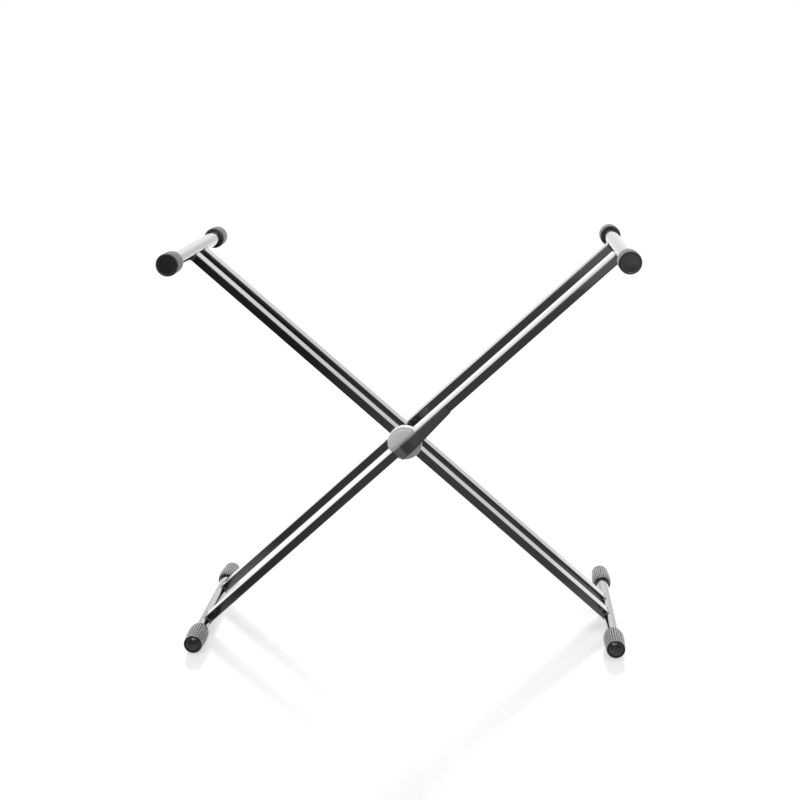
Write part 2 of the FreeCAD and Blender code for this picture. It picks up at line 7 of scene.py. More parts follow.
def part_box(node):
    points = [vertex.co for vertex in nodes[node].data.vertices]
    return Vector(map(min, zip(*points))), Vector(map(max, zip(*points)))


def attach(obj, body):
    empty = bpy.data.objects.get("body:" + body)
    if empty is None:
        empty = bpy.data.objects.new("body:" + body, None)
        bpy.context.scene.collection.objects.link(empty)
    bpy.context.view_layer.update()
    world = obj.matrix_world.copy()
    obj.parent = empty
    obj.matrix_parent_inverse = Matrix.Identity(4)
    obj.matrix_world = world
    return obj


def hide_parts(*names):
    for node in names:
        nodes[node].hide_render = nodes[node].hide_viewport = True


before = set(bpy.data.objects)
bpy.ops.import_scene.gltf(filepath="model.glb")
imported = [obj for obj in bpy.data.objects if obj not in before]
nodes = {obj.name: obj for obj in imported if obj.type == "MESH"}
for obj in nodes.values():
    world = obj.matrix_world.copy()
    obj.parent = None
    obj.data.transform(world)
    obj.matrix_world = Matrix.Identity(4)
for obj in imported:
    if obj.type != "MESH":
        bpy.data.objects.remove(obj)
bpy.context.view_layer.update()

bpy.ops.object.select_all(action="DESELECT")
scene = bpy.context.scene
scene.view_settings.view_transform = "Standard"

# ---------------------------------------------------------------------------
# Camera: a long lens in front of the stand, a little above its top and to the
# right of its middle, looking slightly down and to the left.
# ---------------------------------------------------------------------------
CAMERA_PLACE = (0.1539, -2.5339, 0.9593)
CAMERA_YAW = math.radians(3.736)
CAMERA_PITCH = math.radians(-12.336)
CAMERA_ROLL = math.radians(-0.731)
LENS = 65.93
FAR_CLIP = 60.0

bpy.ops.object.camera_add()
camera = bpy.context.object
camera.name = "PlayerSideCamera"
camera.matrix_world = (
    Matrix.Translation(CAMERA_PLACE)
    @ Matrix.Rotation(CAMERA_YAW, 4, "Z")
    @ Matrix.Rotation(math.pi / 2 + CAMERA_PITCH, 4, "X")
    @ Matrix.Rotation(CAMERA_ROLL, 4, "Z")
)
camera.data.sensor_width = 36.0
camera.data.lens = LENS
camera.data.clip_end = FAR_CLIP
scene.camera = camera


# ---------------------------------------------------------------------------
# Steel tubes: cold-drawn mild steel, cut, notched and welded into two frames,
# then coated all over with black gloss enamel that is stoved until it flows out.
# ---------------------------------------------------------------------------
def linear(hex_colour):
    """Turn an sRGB hex colour into linear light, with full alpha."""
    channels = [int(hex_colour[i:i + 2], 16) / 255 for i in (0, 2, 4)]
    light = [c / 12.92 if c <= 0.04045 else ((c + 0.055) / 1.055) ** 2.4 for c in channels]
    return (*light, 1.0)


def add_node(material, kind, inputs=None, **settings):
    """Add one node to a material or world, with its settings, input values and links."""
    tree = material.node_tree
    node = tree.nodes.new(kind)
    for name, value in settings.items():
        setattr(node, name, value)
    for name, value in (inputs or {}).items():
        if isinstance(value, bpy.types.NodeSocket):
            tree.links.new(value, node.inputs[name])
        else:
            node.inputs[name].default_value = value
    return node


def new_finish(name):
    """Start an empty node material."""
    material = bpy.data.materials.new(name)
    material.use_nodes = True
    material.node_tree.nodes.clear()
    return material


def give_finish(piece, material):
    """Cover a whole piece, or a whole CAD node, with one finish."""
    piece.data.materials.clear()
    piece.data.materials.append(material)


# Stoved gloss enamel: a hard black film, deep and wet-looking. It keeps a faint
# orange peel about 3 mm across, and a little softness where the spray ran thin.
black_enamel = new_finish("StovedBlackEnamel")
where = add_node(black_enamel, "ShaderNodeTexCoord")
peel = add_node(black_enamel, "ShaderNodeTexNoise", {
    "Vector": where.outputs["Object"], "Scale": 1 / 0.003, "Detail": 2.0, "Roughness": 0.4})
thin_spray = add_node(black_enamel, "ShaderNodeTexNoise", {
    "Vector": where.outputs["Object"], "Scale": 1 / 0.06, "Detail": 3.0})
softness = add_node(black_enamel, "ShaderNodeMapRange", {
    "Value": thin_spray.outputs["Fac"], "From Min": 0.3, "From Max": 0.7,
    "To Min": 0.1, "To Max": 0.16})
depth = add_node(black_enamel, "ShaderNodeMix", {
    "Factor": thin_spray.outputs["Fac"], "A": linear("121213"), "B": linear("19191a")},
    data_type="RGBA")
relief = add_node(black_enamel, "ShaderNodeBump", {
    "Height": peel.outputs["Fac"], "Strength": 0.35, "Distance": 0.00004})
enamel = add_node(black_enamel, "ShaderNodeBsdfPrincipled", {
    "Base Color": depth.outputs["Result"], "Roughness": softness.outputs["Result"],
    "IOR": 1.7, "Coat Weight": 1.0, "Coat Roughness": 0.05, "Coat IOR": 1.8,
    "Normal": relief.outputs["Normal"], "Coat Normal": relief.outputs["Normal"]})
add_node(black_enamel, "ShaderNodeOutputMaterial", {"Surface": enamel.outputs["BSDF"]})

for frame_name in ("outer", "inner"):
    for part in ("front_arm", "rear_arm"):
        give_finish(nodes[f"{frame_name}_{part}"], black_enamel)

TUBE_WALL = 0.0015
SMOOTH_SIDES = 96
TUBE_SMOOTH_ANGLE = math.radians(30)

for frame_name in ("outer", "inner"):
    for part in ("top_tube", "foot_tube"):
        low, high = (Vector(corner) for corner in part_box(f"{frame_name}_{part}"))
        bpy.ops.object.select_all(action="DESELECT")
        bpy.ops.mesh.primitive_cylinder_add(
            vertices=SMOOTH_SIDES, radius=(high.x - low.x) / 2, depth=high.y - low.y,
            end_fill_type="NOTHING", location=(low + high) / 2, rotation=(math.pi / 2, 0, 0))
        tube = bpy.context.object
        tube.name = f"{frame_name}_{part}_drawn"
        bpy.ops.object.transform_apply(location=True, rotation=True, scale=True)
        wall = tube.modifiers.new("Wall", "SOLIDIFY")
        wall.thickness = TUBE_WALL
        wall.offset = -1
        bpy.ops.object.modifier_apply(modifier=wall.name)
        bpy.ops.object.shade_smooth_by_angle(angle=TUBE_SMOOTH_ANGLE)
        give_finish(tube, black_enamel)
        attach(tube, f"{frame_name}_frame")
        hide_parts(f"{frame_name}_{part}")

# ---------------------------------------------------------------------------
# Welds: a fillet of weld metal runs round each notched arm end where it sits on
# its round tube. It is laid as overlapping drops and enamelled with the frame.
# ---------------------------------------------------------------------------
ARM_ANGLE = math.radians(42)
UPPER_REACH = 0.496
LOWER_REACH = 0.485
FOOT_AXIS_HEIGHT = 0.017
HUB = Vector((0, 0, FOOT_AXIS_HEIGHT + LOWER_REACH * math.sin(ARM_ANGLE)))
ARM_HALF_DEPTH = 0.015
ARM_HALF_HEIGHT = 0.0075
ARM_MIDDLES = {"outer": 0.081, "inner": 0.037}
RISES_TO = {"outer": 1, "inner": -1}
TOP_TUBE_RADIUS = 0.0127
FOOT_TUBE_RADIUS = 0.0111
BEAD_RADIUS = 0.0013
BEAD_STAND_OFF = 0.0004
BEAD_CORNER = 0.0022
DROP_PITCH = 0.0032
STEPS_PER_DROP = 4
DROP_SWELL = 0.22


def arm_point(frame_name, along, across, depth):
    """Place a point given along an arm, across it and in depth."""
    side = RISES_TO[frame_name]
    direction = Vector((side * math.cos(ARM_ANGLE), 0, math.sin(ARM_ANGLE)))
    square = Vector((-side * math.sin(ARM_ANGLE), 0, math.cos(ARM_ANGLE)))
    return HUB + direction * along + square * across + Vector((0, depth, 0))


def tube_outline(half_depth, half_height, corner, step):
    """Walk round the rounded outline of an arm tube in even steps."""
    corners = [(1, 1), (-1, 1), (-1, -1), (1, -1)]
    outline = []
    for quarter, (side, level) in enumerate(corners):
        centre = Vector((side * (half_depth - corner), level * (half_height - corner)))
        for degrees in (0, 30, 60, 90):
            angle = math.radians(90 * quarter + degrees)
            outline.append(centre + Vector((math.cos(angle), math.sin(angle))) * corner)
    walk = []
    for index, start in enumerate(outline):
        end = outline[(index + 1) % len(outline)]
        pieces = max(1, round((end - start).length / step))
        walk += [start.lerp(end, piece / pieces) for piece in range(pieces)]
    return walk


def weld_bead(frame_name, middle, reach, tube_radius, toward):
    """Run one bead round an arm's end, on the surface of the round tube."""
    walk = tube_outline(ARM_HALF_DEPTH + BEAD_STAND_OFF, ARM_HALF_HEIGHT + BEAD_STAND_OFF,
                        BEAD_CORNER, DROP_PITCH / STEPS_PER_DROP)
    curve = bpy.data.curves.new("bead", "CURVE")
    curve.dimensions = "3D"
    curve.bevel_depth = BEAD_RADIUS
    curve.bevel_resolution = 3
    line = curve.splines.new("POLY")
    line.points.add(len(walk) - 1)
    line.use_cyclic_u = True
    for index, (depth_shift, across) in enumerate(walk):
        fall = math.sqrt(tube_radius ** 2 - across ** 2)
        along = toward * (reach - fall)
        place = arm_point(frame_name, along, across, middle + depth_shift)
        line.points[index].co = (*place, 1)
        line.points[index].radius = 1 + DROP_SWELL * abs(
            math.sin(math.pi * index / STEPS_PER_DROP))
    bead = bpy.data.objects.new("bead", curve)
    scene.collection.objects.link(bead)
    return bead


for frame_name, middle in ARM_MIDDLES.items():
    beads = []
    for side in (-1, 1):
        beads += [weld_bead(frame_name, side * middle, UPPER_REACH, TOP_TUBE_RADIUS, 1),
                  weld_bead(frame_name, side * middle, LOWER_REACH, FOOT_TUBE_RADIUS, -1)]
    bpy.ops.object.select_all(action="DESELECT")
    for bead in beads:
        bead.select_set(True)
    bpy.context.view_layer.objects.active = beads[0]
    bpy.ops.object.convert(target="MESH")
    bpy.ops.object.join()
    welds = bpy.context.object
    welds.name = f"{frame_name}_welds"
    bpy.ops.object.shade_smooth()
    give_finish(welds, black_enamel)
    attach(welds, f"{frame_name}_frame")

# ---------------------------------------------------------------------------
# Top caps: thick caps of black rubber pushed over the ends of the top tubes, so
# that nothing laid on them slips. Moulded, with rounded ribs and a flat end.
# ---------------------------------------------------------------------------
COLUMNS_PER_RIB = 8
MID_COLUMN = COLUMNS_PER_RIB / 2
CAP_SMOOTH_ANGLE = math.radians(40)


def spread(piece, centre, factor, choose):
    """Scale the chosen points of a piece about its axis, which lies along Y."""
    bpy.ops.object.mode_set(mode="EDIT")
    bpy.ops.mesh.select_mode(type="VERT")
    bpy.ops.mesh.select_all(action="DESELECT")
    bpy.ops.object.mode_set(mode="OBJECT")
    for vertex in piece.data.vertices:
        vertex.select = choose(vertex.co)
    bpy.ops.object.mode_set(mode="EDIT")
    bpy.ops.transform.resize(value=(factor, 1, factor), center_override=centre)
    bpy.ops.object.mode_set(mode="OBJECT")


def turned_cap(name, centre, outward, rings, ribs, face_rings, bore, bore_end):
    """Draw out a cap ring by ring from its outer face, and hollow it from the other end.

    rings are (depth from the outer face, radius) pairs, and face_rings are
    (width to step in, height to rise) pairs over the outer face. The bore ends
    bore_end behind that face.
    """
    inward = Vector((0, -outward, 0))
    start = Vector(centre)
    depth, radius = rings[0]
    bpy.ops.mesh.primitive_circle_add(
        vertices=ribs * COLUMNS_PER_RIB, radius=radius, fill_type="NGON",
        location=start + inward * depth, rotation=(math.pi / 2, 0, 0))
    cap = bpy.context.object
    cap.name = name
    bpy.ops.object.transform_apply(location=True, rotation=True, scale=True)
    bpy.ops.object.mode_set(mode="EDIT")
    bpy.ops.mesh.select_mode(type="FACE")
    bpy.ops.mesh.select_all(action="SELECT")
    for next_depth, next_radius in rings[1:]:
        step = inward * (next_depth - depth)
        bpy.ops.mesh.extrude_region_move(TRANSFORM_OT_translate={"value": step})
        factor = next_radius / radius
        bpy.ops.transform.resize(value=(factor, 1, factor),
                                 center_override=start + inward * next_depth)
        depth, radius = next_depth, next_radius
    bpy.ops.mesh.extrude_region_move(TRANSFORM_OT_translate={"value": (0, 0, 0)})
    factor = bore / radius
    bpy.ops.transform.resize(value=(factor, 1, factor), center_override=start + inward * depth)
    bpy.ops.mesh.extrude_region_move(
        TRANSFORM_OT_translate={"value": inward * (bore_end - depth)})
    bpy.ops.object.mode_set(mode="OBJECT")
    ends = [face for face in cap.data.polygons if len(face.vertices) > 4]
    outer_face = min(ends, key=lambda face: (face.center - start).length)
    for face in cap.data.polygons:
        face.select = face.index == outer_face.index
    bpy.ops.object.mode_set(mode="EDIT")
    level, radius = rings[0]
    for step_in, rise in face_rings:
        shift = Vector((0, outward * rise, 0))
        bpy.ops.mesh.extrude_region_move(TRANSFORM_OT_translate={"value": shift})
        factor = (radius - step_in) / radius
        level -= rise
        bpy.ops.transform.resize(value=(factor, 1, factor),
                                 center_override=start + inward * level)
        radius -= step_in
    bpy.ops.mesh.poke()
    bpy.ops.mesh.select_all(action="SELECT")
    bpy.ops.mesh.normals_make_consistent(inside=False)
    bpy.ops.object.mode_set(mode="OBJECT")
    return cap


def press_grooves(cap, centre, ribs, bottoms, first_depth, last_depth, smallest, matt_shade_width):
    """Press rounded grooves into a cap's side between two depths, and give their bottoms a matt
    finish with painted shade.

    bottoms are (columns of a rib, factor that they are drawn in by) pairs. Only what
    is wider than smallest is pressed, which keeps the bore and the face as they are.
    """
    start = Vector(centre)

    def column(co):
        angle = math.atan2(co.z - start.z, co.x - start.x)
        return angle / math.tau * ribs * COLUMNS_PER_RIB % COLUMNS_PER_RIB

    def on_side(co):
        depth = abs(co.y - start.y)
        radius = math.hypot(co.x - start.x, co.z - start.z)
        return first_depth <= depth <= last_depth and radius > smallest

    for columns, factor in bottoms:
        spread(cap, start, factor, lambda co: on_side(co) and round(column(co)) in columns)
    give_finish(cap, cap_rubber)
    cap.data.materials.append(groove_rubber)
    # The middle of each groove takes the second material, which is matt and carries painted
    # shade.
    for face in cap.data.polygons:
        if on_side(face.center) and abs(column(face.center) - MID_COLUMN) < matt_shade_width:
            face.material_index = 1


def finish_cap(cap, body, node):
    """Shade a cap smooth, and let it stand for its CAD node."""
    bpy.ops.object.select_all(action="DESELECT")
    cap.select_set(True)
    bpy.context.view_layer.objects.active = cap
    bpy.ops.object.shade_smooth_by_angle(angle=CAP_SMOOTH_ANGLE)
    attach(cap, body)
    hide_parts(node)


# Moulded black rubber: smooth, and half polished where hands and loads rub it, with a
# grain of about 0.5 mm left by the mould, drawn at 0.7 mm so that it shows.
cap_rubber = new_finish("MouldedCapRubber")
where = add_node(cap_rubber, "ShaderNodeTexCoord")
grain = add_node(cap_rubber, "ShaderNodeTexNoise", {
    "Vector": where.outputs["Object"], "Scale": 1 / 0.0007, "Detail": 3.0})
handling = add_node(cap_rubber, "ShaderNodeTexNoise", {
    "Vector": where.outputs["Object"], "Scale": 1 / 0.012, "Detail": 4.0})
greyed = add_node(cap_rubber, "ShaderNodeMix", {
    "Factor": handling.outputs["Fac"], "A": linear("1c1c1d"), "B": linear("2c2c2d")},
    data_type="RGBA")
dullness = add_node(cap_rubber, "ShaderNodeMapRange", {
    "Value": handling.outputs["Fac"], "From Min": 0.3, "From Max": 0.7,
    "To Min": 0.14, "To Max": 0.22})
relief = add_node(cap_rubber, "ShaderNodeBump", {
    "Height": grain.outputs["Fac"], "Strength": 0.25, "Distance": 0.00005})
rubber = add_node(cap_rubber, "ShaderNodeBsdfPrincipled", {
    "Base Color": greyed.outputs["Result"], "Roughness": dullness.outputs["Result"],
    "IOR": 1.6, "Coat Weight": 0.6, "Coat Roughness": 0.15, "Coat IOR": 1.5,
    "Normal": relief.outputs["Normal"], "Coat Normal": relief.outputs["Normal"]})
add_node(cap_rubber, "ShaderNodeOutputMaterial", {"Surface": rubber.outputs["BSDF"]})

# The same rubber down in the grooves, where nothing rubs it: as matt as it left the
# spark-eroded mould, with the same grain. Its reflection is also turned well down and it has no
# coat, painted shade that darkens the grooves.
groove_rubber = new_finish("MattGrooveRubberPaintedShade")
where = add_node(groove_rubber, "ShaderNodeTexCoord")
grain = add_node(groove_rubber, "ShaderNodeTexNoise", {
    "Vector": where.outputs["Object"], "Scale": 1 / 0.0007, "Detail": 3.0})
dust = add_node(groove_rubber, "ShaderNodeMix", {
    "Factor": grain.outputs["Fac"], "A": linear("1c1c1d"), "B": linear("2c2c2d")},
    data_type="RGBA")
relief = add_node(groove_rubber, "ShaderNodeBump", {
    "Height": grain.outputs["Fac"], "Strength": 0.4, "Distance": 0.00008})
# Painted shade: the reflection here is turned well down and the coat left off, so the groove
# bottoms render dark.
matt_and_shaded = add_node(groove_rubber, "ShaderNodeBsdfPrincipled", {
    "Base Color": dust.outputs["Result"], "Roughness": 0.7, "Specular IOR Level": 0.12,
    "Normal": relief.outputs["Normal"]})
add_node(groove_rubber, "ShaderNodeOutputMaterial", {"Surface": matt_and_shaded.outputs["BSDF"]})

TOP_RIBS = 31
TOP_CAP_RADIUS = 0.0188
TOP_CAP_LENGTH = 0.044
TOP_HALF_WIDTH = 0.225
TOP_BORE = 0.0128
TOP_CAP_FLOOR = 0.004
TOP_CAP_SMALLEST = 0.0156
TOP_MATT_SHADE_WIDTH = 2
GROOVE_OVERRUN = 0.0001

for frame_name in ("outer", "inner"):
    for side_name, outward in (("front", -1), ("rear", 1)):
        crest = arm_point(frame_name, UPPER_REACH, 0, 0)
        centre = (crest.x, outward * TOP_HALF_WIDTH, crest.z)
        cap = turned_cap(
            f"{frame_name}_top_cap_{side_name}_ribbed", centre, outward,
            rings=[
                (0.0, 0.0174),
                (0.0004, 0.0180),
                (0.0012, TOP_CAP_RADIUS),
                (0.0026, TOP_CAP_RADIUS),
                (0.0034, TOP_CAP_RADIUS),
                (0.0120, TOP_CAP_RADIUS),
                (0.0320, TOP_CAP_RADIUS),
                (TOP_CAP_LENGTH - 0.0018, TOP_CAP_RADIUS),
                (TOP_CAP_LENGTH - 0.0004, TOP_CAP_RADIUS - 0.0006),
                (TOP_CAP_LENGTH, TOP_CAP_RADIUS - 0.0016),
            ],
            ribs=TOP_RIBS,
            face_rings=[
                (0.0020, 0.0), (0.0005, -0.0005), (0.0005, 0.0),
                (0.0040, 0.0002), (0.0060, 0.0002)],
            bore=TOP_BORE, bore_end=TOP_CAP_FLOOR)
        press_grooves(cap, centre, TOP_RIBS,
                      [((4,), 0.915), ((3, 5), 0.94), ((2, 6), 0.985)],
                      -GROOVE_OVERRUN, TOP_CAP_LENGTH + GROOVE_OVERRUN,
                      TOP_CAP_SMALLEST, TOP_MATT_SHADE_WIDTH)
        finish_cap(cap, f"{frame_name}_frame", f"{frame_name}_top_cap_{side_name}")

# ---------------------------------------------------------------------------
# Feet: barrel-shaped rubber caps on the foot tubes, with long ribs round them. The
# outer end is a smooth dome inside a raised ring, and the sole is pressed flat.
# ---------------------------------------------------------------------------
FOOT_RIBS = 25
FOOT_CAP_LENGTH = 0.066
FOOT_HALF_WIDTH = 0.196
FOOT_BORE = 0.0112
FOOT_CAP_FLOOR = 0.005
FOOT_GROOVE_START = 0.0034
FOOT_GROOVE_END = 0.0640
FOOT_CAP_SMALLEST = 0.0145
FOOT_MATT_SHADE_WIDTH = 1

for frame_name in ("outer", "inner"):
    for side_name, outward in (("front", -1), ("rear", 1)):
        axis = arm_point(frame_name, -LOWER_REACH, 0, 0)
        centre = (axis.x, outward * FOOT_HALF_WIDTH, axis.z)
        cap = turned_cap(
            f"{frame_name}_foot_cap_{side_name}_ribbed", centre, outward,
            rings=[
                (0.0, 0.0146),
                (0.0003, 0.0153),
                (0.0011, 0.0158),
                (0.0030, 0.0159),
                (0.0038, 0.0159),
                (0.0100, 0.01635),
                (0.0180, 0.01692),
                (0.0260, 0.01740),
                (0.0340, 0.01770),
                (0.0430, 0.01780),
                (0.0500, 0.01770),
                (0.0560, 0.01725),
                (0.0605, 0.01655),
                (0.0635, 0.01580),
                (0.0652, 0.01500),
                (FOOT_CAP_LENGTH, 0.01390),
            ],
            ribs=FOOT_RIBS,
            face_rings=[
                (0.0009, 0.0), (0.0004, -0.0016), (0.0003, 0.0),
                (0.0008, 0.0008), (0.0016, 0.0012), (0.0022, 0.0011),
                (0.0026, 0.0008), (0.0028, 0.0004), (0.0020, 0.0001)],
            bore=FOOT_BORE, bore_end=FOOT_CAP_FLOOR)
        press_grooves(cap, centre, FOOT_RIBS,
                      [((4,), 0.95), ((3, 5), 0.965), ((2, 6), 0.99)],
                      FOOT_GROOVE_START, FOOT_GROOVE_END,
                      FOOT_CAP_SMALLEST, FOOT_MATT_SHADE_WIDTH)
        bpy.ops.object.mode_set(mode="EDIT")
        bpy.ops.mesh.select_all(action="SELECT")
        bpy.ops.mesh.bisect(
            plane_co=(0, 0, 0), plane_no=(0, 0, 1), use_fill=True, clear_inner=True)
        bpy.ops.object.mode_set(mode="OBJECT")
        finish_cap(cap, f"{frame_name}_frame", f"{frame_name}_foot_cap_{side_name}")

# ---------------------------------------------------------------------------
# Clutch: two stepped discs of die-cast zinc, face to face on a thin fibre disc.
# Each is cast, lacquered silver and fixed by its middle to its arm.
# ---------------------------------------------------------------------------
# Silver lacquer on a zinc casting: pale and soft, mostly lacquer with a little metal
# flake in it, with a fine grain of about 0.8 mm and slightly cloudy patches.
zinc_casting = new_finish("SilverLacqueredCasting")
where = add_node(zinc_casting, "ShaderNodeTexCoord")
cast_grain = add_node(zinc_casting, "ShaderNodeTexNoise", {
    "Vector": where.outputs["Object"], "Scale": 1 / 0.0008, "Detail": 4.0})
cloud = add_node(zinc_casting, "ShaderNodeTexNoise", {
    "Vector": where.outputs["Object"], "Scale": 1 / 0.012, "Detail": 5.0})
silver = add_node(zinc_casting, "ShaderNodeMix", {
    "Factor": cloud.outputs["Fac"], "A": linear("e2e2e2"), "B": linear("efefee")},
    data_type="RGBA")
tumbled = add_node(zinc_casting, "ShaderNodeMapRange", {
    "Value": cloud.outputs["Fac"], "From Min": 0.3, "From Max": 0.7,
    "To Min": 0.32, "To Max": 0.46})
relief = add_node(zinc_casting, "ShaderNodeBump", {
    "Height": cast_grain.outputs["Fac"], "Strength": 0.35, "Distance": 0.00012})
zinc = add_node(zinc_casting, "ShaderNodeBsdfPrincipled", {
    "Base Color": silver.outputs["Result"], "Metallic": 0.12,
    "Roughness": tumbled.outputs["Result"], "Normal": relief.outputs["Normal"]})
add_node(zinc_casting, "ShaderNodeOutputMaterial", {"Surface": zinc.outputs["BSDF"]})

for plate in ("front_clutch_plate", "rear_clutch_plate"):
    give_finish(nodes[plate], zinc_casting)

# Pressed fibre: brown-grey friction lining with short fibres about 2 mm long.
friction_fibre = new_finish("PressedFrictionFibre")
where = add_node(friction_fibre, "ShaderNodeTexCoord")
fibres = add_node(friction_fibre, "ShaderNodeTexNoise", {
    "Vector": where.outputs["Object"], "Scale": 1 / 0.002, "Detail": 6.0, "Distortion": 2.0})
lining = add_node(friction_fibre, "ShaderNodeMix", {
    "Factor": fibres.outputs["Fac"], "A": linear("3a342c"), "B": linear("6a6153")},
    data_type="RGBA")
relief = add_node(friction_fibre, "ShaderNodeBump", {
    "Height": fibres.outputs["Fac"], "Strength": 0.5, "Distance": 0.0001})
fibre = add_node(friction_fibre, "ShaderNodeBsdfPrincipled", {
    "Base Color": lining.outputs["Result"], "Roughness": 0.85,
    "Normal": relief.outputs["Normal"]})
add_node(friction_fibre, "ShaderNodeOutputMaterial", {"Surface": fibre.outputs["BSDF"]})
give_finish(nodes["friction_disc"], friction_fibre)

# ---------------------------------------------------------------------------
# Cam lever: glass-filled nylon, moulded hollow with a spark-eroded grain on its
# outside. Its butt is the eccentric cam, and it turns on a plated steel pin.
# ---------------------------------------------------------------------------
# Glass-filled nylon: matt charcoal with a grain of about 0.4 mm, drawn at 0.6 mm. The
# cam end past the fold is painted paler, a painted reflection of the light its curved butt
# catches.
CAM_FOLD = HUB.z * math.sin(ARM_ANGLE) + 0.004
CAM_REFLECTION_FADE = 0.003

lever_nylon = new_finish("GlassFilledNylon")
where = add_node(lever_nylon, "ShaderNodeTexCoord")
spark_grain = add_node(lever_nylon, "ShaderNodeTexNoise", {
    "Vector": where.outputs["Object"], "Scale": 1 / 0.0006, "Detail": 2.0})
rubbed = add_node(lever_nylon, "ShaderNodeTexNoise", {
    "Vector": where.outputs["Object"], "Scale": 1 / 0.02, "Detail": 4.0})
charcoal = add_node(lever_nylon, "ShaderNodeMix", {
    "Factor": rubbed.outputs["Fac"], "A": linear("363637"), "B": linear("3e3e3f")},
    data_type="RGBA")
up_the_arm = add_node(lever_nylon, "ShaderNodeVectorMath", {
    0: where.outputs["Object"], 1: (math.cos(ARM_ANGLE), 0, math.sin(ARM_ANGLE))},
    operation="DOT_PRODUCT")
# Painted reflection: past the fold the cam end is mixed to a paler grey, standing in for the
# light that its curved butt reflects.
on_cam = add_node(lever_nylon, "ShaderNodeMapRange", {
    "Value": up_the_arm.outputs["Value"], "From Min": CAM_FOLD, "From Max": CAM_FOLD - CAM_REFLECTION_FADE})
cam_painted_reflection = add_node(lever_nylon, "ShaderNodeMix", {
    "Factor": on_cam.outputs["Result"], "A": charcoal.outputs["Result"], "B": linear("68686a")},
    data_type="RGBA")
matt = add_node(lever_nylon, "ShaderNodeMapRange", {
    "Value": rubbed.outputs["Fac"], "From Min": 0.3, "From Max": 0.7,
    "To Min": 0.45, "To Max": 0.55})
relief = add_node(lever_nylon, "ShaderNodeBump", {
    "Height": spark_grain.outputs["Fac"], "Strength": 0.4, "Distance": 0.00008})
nylon = add_node(lever_nylon, "ShaderNodeBsdfPrincipled", {
    "Base Color": cam_painted_reflection.outputs["Result"], "Roughness": matt.outputs["Result"],
    "IOR": 1.53, "Normal": relief.outputs["Normal"]})
add_node(lever_nylon, "ShaderNodeOutputMaterial", {"Surface": nylon.outputs["BSDF"]})
give_finish(nodes["cam_lever"], lever_nylon)
give_finish(nodes["thrust_pad"], lever_nylon)

# ---------------------------------------------------------------------------
# Bolts, nut and washers: cold-headed steel, zinc plated and blue passivated.
# The rear pivot turns on a natural black nylon spacer.
# ---------------------------------------------------------------------------
# Bright zinc plate: cool silver, a little mottled every few millimetres.
zinc_plate = new_finish("BrightZincPlate")
where = add_node(zinc_plate, "ShaderNodeTexCoord")
mottle = add_node(zinc_plate, "ShaderNodeTexNoise", {
    "Vector": where.outputs["Object"], "Scale": 1 / 0.004, "Detail": 4.0})
plate_colour = add_node(zinc_plate, "ShaderNodeMix", {
    "Factor": mottle.outputs["Fac"], "A": linear("b4b6b9"), "B": linear("d6d7d8")},
    data_type="RGBA")
plate_gloss = add_node(zinc_plate, "ShaderNodeMapRange", {
    "Value": mottle.outputs["Fac"], "From Min": 0.3, "From Max": 0.7,
    "To Min": 0.2, "To Max": 0.34})
plated = add_node(zinc_plate, "ShaderNodeBsdfPrincipled", {
    "Base Color": plate_colour.outputs["Result"], "Metallic": 1.0,
    "Roughness": plate_gloss.outputs["Result"]})
add_node(zinc_plate, "ShaderNodeOutputMaterial", {"Surface": plated.outputs["BSDF"]})
for fastener in ("clamp_bolt", "clamp_washer", "barrel_pin", "rear_pivot_bolt",
                 "rear_head_washer", "rear_nut_washer", "rear_lock_nut"):
    give_finish(nodes[fastener], zinc_plate)

# Turned nylon rod: black, faintly ringed every half millimetre by the tool.
turned_nylon = new_finish("TurnedBlackNylon")
where = add_node(turned_nylon, "ShaderNodeTexCoord")
tool_marks = add_node(turned_nylon, "ShaderNodeTexWave", {
    "Vector": where.outputs["Object"], "Scale": 1 / 0.0005 / math.tau, "Distortion": 0.4},
    bands_direction="Y")
relief = add_node(turned_nylon, "ShaderNodeBump", {
    "Height": tool_marks.outputs["Fac"], "Strength": 0.3, "Distance": 0.00005})
turned = add_node(turned_nylon, "ShaderNodeBsdfPrincipled", {
    "Base Color": linear("262627"), "Roughness": 0.4, "IOR": 1.53,
    "Normal": relief.outputs["Normal"]})
add_node(turned_nylon, "ShaderNodeOutputMaterial", {"Surface": turned.outputs["BSDF"]})
give_finish(nodes["rear_spacer"], turned_nylon)

# ---------------------------------------------------------------------------
# Studio: a white seamless floor, a wide soft light overhead and a pale surround. The
# floor and the surround are dim on the player's side, which the gloss shows.
# ---------------------------------------------------------------------------
FLOOR_SIZE = 14
FLOOR_MIDDLE = (0, 2.5, 0)
FLOOR_TONE = 0.32
FLOOR_LIFT = 1.72

bpy.ops.mesh.primitive_plane_add(size=FLOOR_SIZE, location=FLOOR_MIDDLE)
floor = bpy.context.object
floor.name = "StudioFloor"
white_floor = new_finish("SatinWhiteFloor")
sight = add_node(white_floor, "ShaderNodeLightPath")
bounced = add_node(white_floor, "ShaderNodeMath", {
    0: sight.outputs["Is Glossy Ray"], 1: sight.outputs["Is Transmission Ray"]},
    operation="MAXIMUM")
looked_at = add_node(white_floor, "ShaderNodeMath", {
    0: sight.outputs["Is Camera Ray"], 1: bounced.outputs["Value"]}, operation="MAXIMUM")
place_on_floor = add_node(white_floor, "ShaderNodeTexCoord")
floor_axes = add_node(white_floor, "ShaderNodeSeparateXYZ", {
    "Vector": place_on_floor.outputs["Object"]})
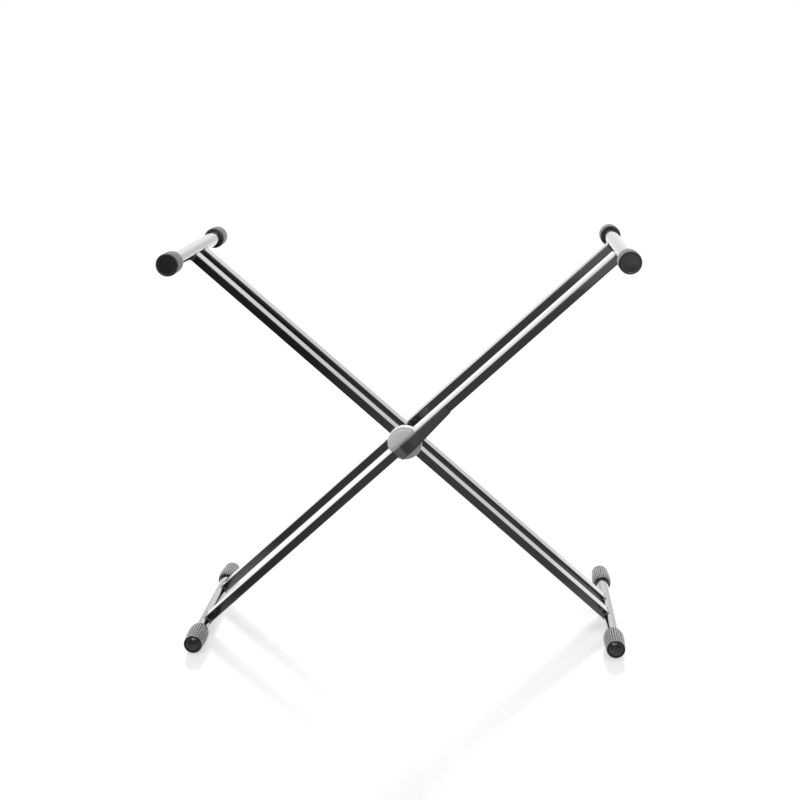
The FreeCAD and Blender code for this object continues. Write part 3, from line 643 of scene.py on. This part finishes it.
# Painted reflection: for every ray but the camera's, the floor just in front of the stand is
# nearly black, darkest to the left, so the glossy fronts reflect it dark. The camera sees the
# floor evenly white.
towards_right = add_node(white_floor, "ShaderNodeMapRange", {
    "Value": floor_axes.outputs["X"], "From Min": -0.5, "From Max": -0.1,
    "To Min": 0.005, "To Max": 0.085})
towards_back = add_node(white_floor, "ShaderNodeMapRange", {
    "Value": floor_axes.outputs["Y"], "From Min": -2.8, "From Max": -2.55,
    "To Min": towards_right.outputs["Result"], "To Max": FLOOR_TONE})
pale = add_node(white_floor, "ShaderNodeMix", {
    "Factor": sight.outputs["Is Camera Ray"], "A": towards_back.outputs["Result"],
    "B": FLOOR_TONE})
lift = add_node(white_floor, "ShaderNodeMath", {
    0: pale.outputs["Result"], 1: FLOOR_LIFT}, operation="MULTIPLY")
glow = add_node(white_floor, "ShaderNodeMath", {
    0: looked_at.outputs["Value"], 1: lift.outputs["Value"]}, operation="MULTIPLY")
floor_skin = add_node(white_floor, "ShaderNodeBsdfPrincipled", {
    "Base Color": pale.outputs["Result"], "Roughness": 0.16, "IOR": 1.45,
    "Emission Color": (1, 1, 1, 1), "Emission Strength": glow.outputs["Value"]})
add_node(white_floor, "ShaderNodeOutputMaterial", {"Surface": floor_skin.outputs["BSDF"]})
give_finish(floor, white_floor)

surround = bpy.data.worlds.new("StudioSurround")
surround.use_nodes = True
surround.node_tree.nodes.clear()
scene.world = surround
direction = add_node(surround, "ShaderNodeTexCoord")
axes = add_node(surround, "ShaderNodeSeparateXYZ", {"Vector": direction.outputs["Generated"]})
player_side = add_node(surround, "ShaderNodeMapRange", {
    "Value": axes.outputs["X"], "From Min": -0.2, "From Max": 0.1, "To Min": 0.02, "To Max": 0.7})
low_down = add_node(surround, "ShaderNodeMapRange", {
    "Value": axes.outputs["Z"], "From Min": -0.08, "From Max": 0.06,
    "To Min": player_side.outputs["Result"], "To Max": 0.06})
high_up = add_node(surround, "ShaderNodeMapRange", {
    "Value": axes.outputs["Z"], "From Min": 0.14, "From Max": 0.4, "To Min": 1.0, "To Max": 1.9})
behind = add_node(surround, "ShaderNodeMapRange", {
    "Value": axes.outputs["Y"], "From Min": -0.7, "From Max": 0.2,
    "To Min": low_down.outputs["Result"], "To Max": high_up.outputs["Result"]})
paths = add_node(surround, "ShaderNodeLightPath")
seen = add_node(surround, "ShaderNodeMath", {
    0: paths.outputs["Is Glossy Ray"], 1: paths.outputs["Is Transmission Ray"]},
    operation="MAXIMUM")
to_eye = add_node(surround, "ShaderNodeMix", {
    "Factor": seen.outputs["Value"], "A": 0.75, "B": behind.outputs["Result"]})
strength = add_node(surround, "ShaderNodeMix", {
    "Factor": paths.outputs["Is Camera Ray"], "A": to_eye.outputs["Result"], "B": 1.0})
backdrop = add_node(surround, "ShaderNodeBackground", {
    "Color": (1, 1, 1, 1), "Strength": strength.outputs["Result"]})
add_node(surround, "ShaderNodeOutputWorld", {"Surface": backdrop.outputs["Background"]})


def soft_light(name, place, aim, width, power):
    """Hang a square soft light and point it at a place."""
    bpy.ops.object.light_add(type="AREA", location=place)
    light = bpy.context.object
    light.name = name
    light.data.shape = "SQUARE"
    light.data.size = width
    light.data.energy = power
    light.rotation_euler = (Vector(aim) - Vector(place)).to_track_quat("-Z", "Y").to_euler()


soft_light("OverheadSoftLight", (0.3, 0.6, 2.8), (0, 0, 0.3), 2.4, 36)
soft_light("PlayerSideFill", (-0.8, -2.8, 2.3), (0, 0, 0.3), 1.2, 19)
soft_light("PlayerRightFill", (0.6, -2.8, 2.3), (0, 0, 0.3), 0.8, 8)
soft_light("LowFaceLight", (-0.4, -3.2, 1.25), (0, 0, 0.3), 0.35, 1.6)
